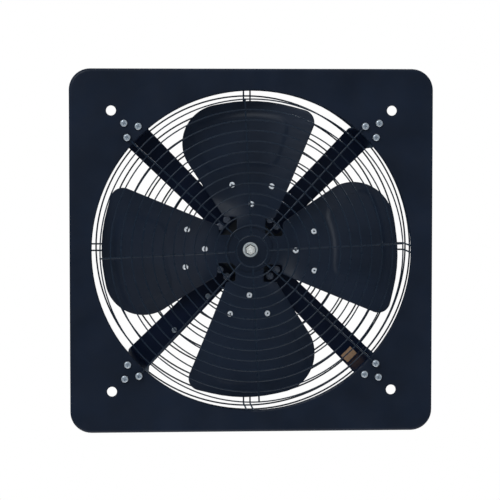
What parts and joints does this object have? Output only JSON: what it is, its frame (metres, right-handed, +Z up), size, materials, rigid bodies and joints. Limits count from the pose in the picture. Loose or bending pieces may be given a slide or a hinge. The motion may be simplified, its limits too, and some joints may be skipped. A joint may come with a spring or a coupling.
{
  "type": "exhaust fan",
  "caption": "Square-plate axial exhaust fan with pressed paddle blades, a ring wire guard in front, a wire basket behind and a motor on strap arms.",
  "frame": {"origin": "fan axis at the back face of the mounting plate's sheet", "axes": "+Y along the fan axis towards the motor, +X right and +Z up seen from the guard side"},
  "size_m": [0.48, 0.1801, 0.48],
  "materials": {
    "plate_coat": "satin black powder coat",
    "arm_coat": "gloss black powder coat",
    "blade_coat": "satin black powder coat",
    "guard_coat": "gloss black coated wire",
    "zinc_plate": "bright zinc plate",
    "rivet_aluminium": "bare drawn aluminium",
    "hub_steel": "turned steel",
    "shield_casting": "die-cast shield with dark paint",
    "housing_coat": "satin black paint on rolled steel",
    "bearing_steel": "ground steel",
    "lamination_steel": "stacked electrical steel",
    "rotor_aluminium": "cast aluminium",
    "winding_copper": "enamelled copper wire",
    "lead_sheath": "black sleeving",
    "grommet_rubber": "black rubber",
    "box_plastic": "moulded black plastic",
    "block_plastic": "moulded off-white plastic",
    "capacitor_plastic": "moulded black plastic",
    "label_paper": "blank kraft-brown label"
  },
  "bodies": {
    "frame": {"mounting_plate": "plate_coat", "arm_top_right": "arm_coat", "arm_top_left": "arm_coat", "arm_bottom_left": "arm_coat", "arm_bottom_right": "arm_coat", "front_guard": "guard_coat", "rear_guard": "guard_coat", "rear_guard_side_ring": "guard_coat", "arm_screws": "zinc_plate", "arm_lock_washers": "zinc_plate", "arm_nuts": "zinc_plate", "arm_motor_bolts": "zinc_plate", "arm_motor_washers": "zinc_plate", "guard_studs": "zinc_plate", "guard_washers": "zinc_plate", "guard_nuts": "zinc_plate", "motor_tie_bolts": "zinc_plate", "motor_tie_nuts": "zinc_plate", "clip_screws": "zinc_plate", "clip_nuts": "zinc_plate", "lead_clips": "zinc_plate", "lid_screws": "zinc_plate", "box_studs": "zinc_plate", "box_nuts": "zinc_plate", "motor_front_shield": "shield_casting", "motor_rear_shield": "shield_casting", "motor_housing": "housing_coat", "front_bearing_outer_ring": "bearing_steel", "rear_bearing_outer_ring": "bearing_steel", "bearing_wave_spring": "bearing_steel", "stator_core": "lamination_steel", "stator_windings": "winding_copper", "motor_lead": "lead_sheath", "lead_grommet": "grommet_rubber", "terminal_box": "box_plastic", "terminal_box_lid": "box_plastic", "lead_gland": "box_plastic", "supply_gland": "box_plastic", "terminal_block": "block_plastic", "run_capacitor": "capacitor_plastic", "inspection_label": "label_paper"},
    "impeller": {"blade_1": "blade_coat", "blade_2": "blade_coat", "blade_3": "blade_coat", "blade_4": "blade_coat", "blade_rivets": "rivet_aluminium", "hub_spider": "blade_coat", "hub_boss": "hub_steel", "hub_grub_screw": "zinc_plate", "hub_washer": "zinc_plate", "hub_nut": "zinc_plate", "motor_shaft": "hub_steel", "rotor_core": "lamination_steel", "rotor_end_rings": "rotor_aluminium", "front_bearing_inner_ring": "bearing_steel", "rear_bearing_inner_ring": "bearing_steel"},
    "front_cage": {"front_bearing_balls": "bearing_steel", "front_bearing_cage": "bearing_steel"},
    "rear_cage": {"rear_bearing_balls": "bearing_steel", "rear_bearing_cage": "bearing_steel"}
  },
  "joints": [
    {"name": "impeller_spin", "type": "hinge", "parent": "frame", "child": "impeller", "pos_m": [0, 0.034, 0], "axis": [0, 1, 0], "continuous": true},
    {"name": "front_cage_spin", "type": "hinge", "parent": "frame", "child": "front_cage", "pos_m": [0, 0.088, 0], "axis": [0, 1, 0], "continuous": true},
    {"name": "rear_cage_spin", "type": "hinge", "parent": "frame", "child": "rear_cage", "pos_m": [0, 0.161, 0], "axis": [0, 1, 0], "continuous": true}
  ],
  "couplings": [
    {"joint": "front_cage_spin", "follows": "impeller_spin", "ratio": 0.3674},
    {"joint": "rear_cage_spin", "follows": "impeller_spin", "ratio": 0.3674}
  ]
}
